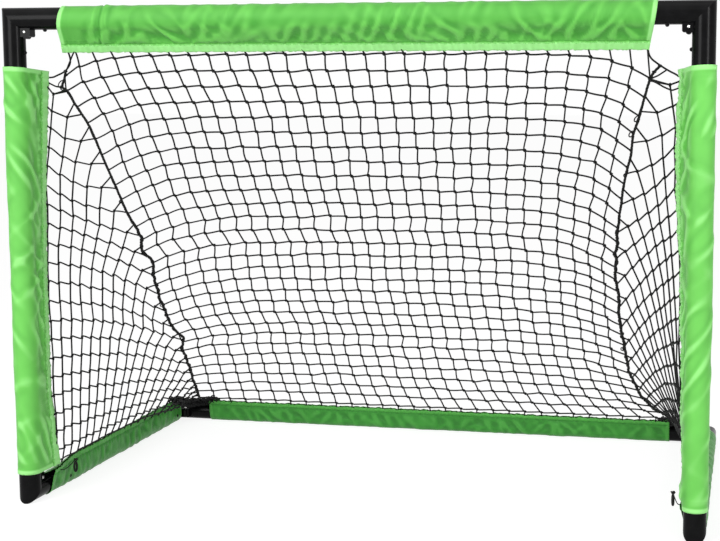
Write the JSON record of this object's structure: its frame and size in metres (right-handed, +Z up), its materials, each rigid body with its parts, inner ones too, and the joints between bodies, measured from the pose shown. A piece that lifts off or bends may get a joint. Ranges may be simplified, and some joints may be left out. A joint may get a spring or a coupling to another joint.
{
  "type": "hockey goal",
  "caption": "Free-standing street hockey goal: knock-down tube frame with corner sockets and spring buttons, green cloth sleeves and a sloping black knotted net.",
  "frame": {"origin": "on the ground in the middle of the footprint", "axes": "+X along the goal line to the right seen from the mouth, +Y from the mouth to the back of the net, +Z up"},
  "size_m": [1.6024, 0.9356, 1.1512],
  "materials": {
    "corner_paint": "gloss black paint on welded steel tube",
    "tube_paint": "black paint on drawn steel tube",
    "button_paint": "black coated steel, worn on the dome",
    "leaf_steel": "bent spring steel strip",
    "screw_steel": "zinc plated",
    "sleeve_cloth": "lime green woven nylon, slightly shiny",
    "base_sleeve_cloth": "green woven nylon, seen in shade",
    "net_twine": "black knotted nylon twine",
    "lashing_cord": "black braided nylon cord"
  },
  "bodies": {
    "root": {"corner_top_left": "corner_paint", "leaf_top_left_bar": "leaf_steel", "leaf_top_left_post": "leaf_steel", "corner_foot_left": "corner_paint", "leaf_foot_left_rail": "leaf_steel", "leaf_foot_left_post": "leaf_steel", "corner_rear_left": "corner_paint", "leaf_rear_left_back": "leaf_steel", "leaf_rear_left_rail": "leaf_steel", "corner_top_right": "corner_paint", "leaf_top_right_bar": "leaf_steel", "leaf_top_right_post": "leaf_steel", "corner_foot_right": "corner_paint", "leaf_foot_right_rail": "leaf_steel", "leaf_foot_right_post": "leaf_steel", "corner_rear_right": "corner_paint", "leaf_rear_right_back": "leaf_steel", "leaf_rear_right_rail": "leaf_steel", "crossbar": "tube_paint", "rear_rail": "tube_paint", "post_left": "tube_paint", "post_right": "tube_paint", "side_rail_left": "tube_paint", "side_rail_right": "tube_paint", "lug_screws": "screw_steel", "lug_nuts": "screw_steel", "sleeve_crossbar": "sleeve_cloth", "sleeve_post_left": "sleeve_cloth", "sleeve_post_right": "sleeve_cloth", "sleeve_side_left": "base_sleeve_cloth", "sleeve_side_right": "base_sleeve_cloth", "sleeve_rear": "base_sleeve_cloth", "net_back": "net_twine", "net_left": "net_twine", "seam_cord_left": "lashing_cord", "corner_cord_left": "lashing_cord", "foot_tie_left": "lashing_cord", "net_right": "net_twine", "seam_cord_right": "lashing_cord", "corner_cord_right": "lashing_cord", "foot_tie_right": "lashing_cord"},
    "button_top_left_bar": {"button_top_left_bar": "button_paint"},
    "button_top_left_post": {"button_top_left_post": "button_paint"},
    "button_foot_left_rail": {"button_foot_left_rail": "button_paint"},
    "button_foot_left_post": {"button_foot_left_post": "button_paint"},
    "button_rear_left_back": {"button_rear_left_back": "button_paint"},
    "button_rear_left_rail": {"button_rear_left_rail": "button_paint"},
    "button_top_right_bar": {"button_top_right_bar": "button_paint"},
    "button_top_right_post": {"button_top_right_post": "button_paint"},
    "button_foot_right_rail": {"button_foot_right_rail": "button_paint"},
    "button_foot_right_post": {"button_foot_right_post": "button_paint"},
    "button_rear_right_back": {"button_rear_right_back": "button_paint"},
    "button_rear_right_rail": {"button_rear_right_rail": "button_paint"}
  },
  "joints": [
    {"name": "press_top_left_bar", "type": "slide", "parent": "root", "child": "button_top_left_bar", "axis": [0, 0, 1], "range_m": [0, 0.0072], "stiffness_N_per_m": 3000, "springref_m": -0.004, "deforming": ["leaf_top_left_bar"]},
    {"name": "press_top_left_post", "type": "slide", "parent": "root", "child": "button_top_left_post", "axis": [-1, 0, 0], "range_m": [0, 0.0072], "stiffness_N_per_m": 3000, "springref_m": -0.004, "deforming": ["leaf_top_left_post"]},
    {"name": "press_foot_left_rail", "type": "slide", "parent": "root", "child": "button_foot_left_rail", "axis": [-1, 0, 0], "range_m": [0, 0.0078], "stiffness_N_per_m": 3000, "springref_m": -0.004, "deforming": ["leaf_foot_left_rail"]},
    {"name": "press_foot_left_post", "type": "slide", "parent": "root", "child": "button_foot_left_post", "axis": [0, -1, 0], "range_m": [0, 0.0072], "stiffness_N_per_m": 3000, "springref_m": -0.004, "deforming": ["leaf_foot_left_post"]},
    {"name": "press_rear_left_back", "type": "slide", "parent": "root", "child": "button_rear_left_back", "axis": [0, -1, 0], "range_m": [0, 0.0078], "stiffness_N_per_m": 3000, "springref_m": -0.004, "deforming": ["leaf_rear_left_back"]},
    {"name": "press_rear_left_rail", "type": "slide", "parent": "root", "child": "button_rear_left_rail", "axis": [-1, 0, 0], "range_m": [0, 0.0078], "stiffness_N_per_m": 3000, "springref_m": -0.004, "deforming": ["leaf_rear_left_rail"]},
    {"name": "press_top_right_bar", "type": "slide", "parent": "root", "child": "button_top_right_bar", "axis": [0, 0, 1], "range_m": [0, 0.0072], "stiffness_N_per_m": 3000, "springref_m": -0.004, "deforming": ["leaf_top_right_bar"]},
    {"name": "press_top_right_post", "type": "slide", "parent": "root", "child": "button_top_right_post", "axis": [1, 0, 0], "range_m": [0, 0.0072], "stiffness_N_per_m": 3000, "springref_m": -0.004, "deforming": ["leaf_top_right_post"]},
    {"name": "press_foot_right_rail", "type": "slide", "parent": "root", "child": "button_foot_right_rail", "axis": [1, 0, 0], "range_m": [0, 0.0078], "stiffness_N_per_m": 3000, "springref_m": -0.004, "deforming": ["leaf_foot_right_rail"]},
    {"name": "press_foot_right_post", "type": "slide", "parent": "root", "child": "button_foot_right_post", "axis": [0, -1, 0], "range_m": [0, 0.0072], "stiffness_N_per_m": 3000, "springref_m": -0.004, "deforming": ["leaf_foot_right_post"]},
    {"name": "press_rear_right_back", "type": "slide", "parent": "root", "child": "button_rear_right_back", "axis": [0, -1, 0], "range_m": [0, 0.0078], "stiffness_N_per_m": 3000, "springref_m": -0.004, "deforming": ["leaf_rear_right_back"]},
    {"name": "press_rear_right_rail", "type": "slide", "parent": "root", "child": "button_rear_right_rail", "axis": [1, 0, 0], "range_m": [0, 0.0078], "stiffness_N_per_m": 3000, "springref_m": -0.004, "deforming": ["leaf_rear_right_rail"]}
  ]
}
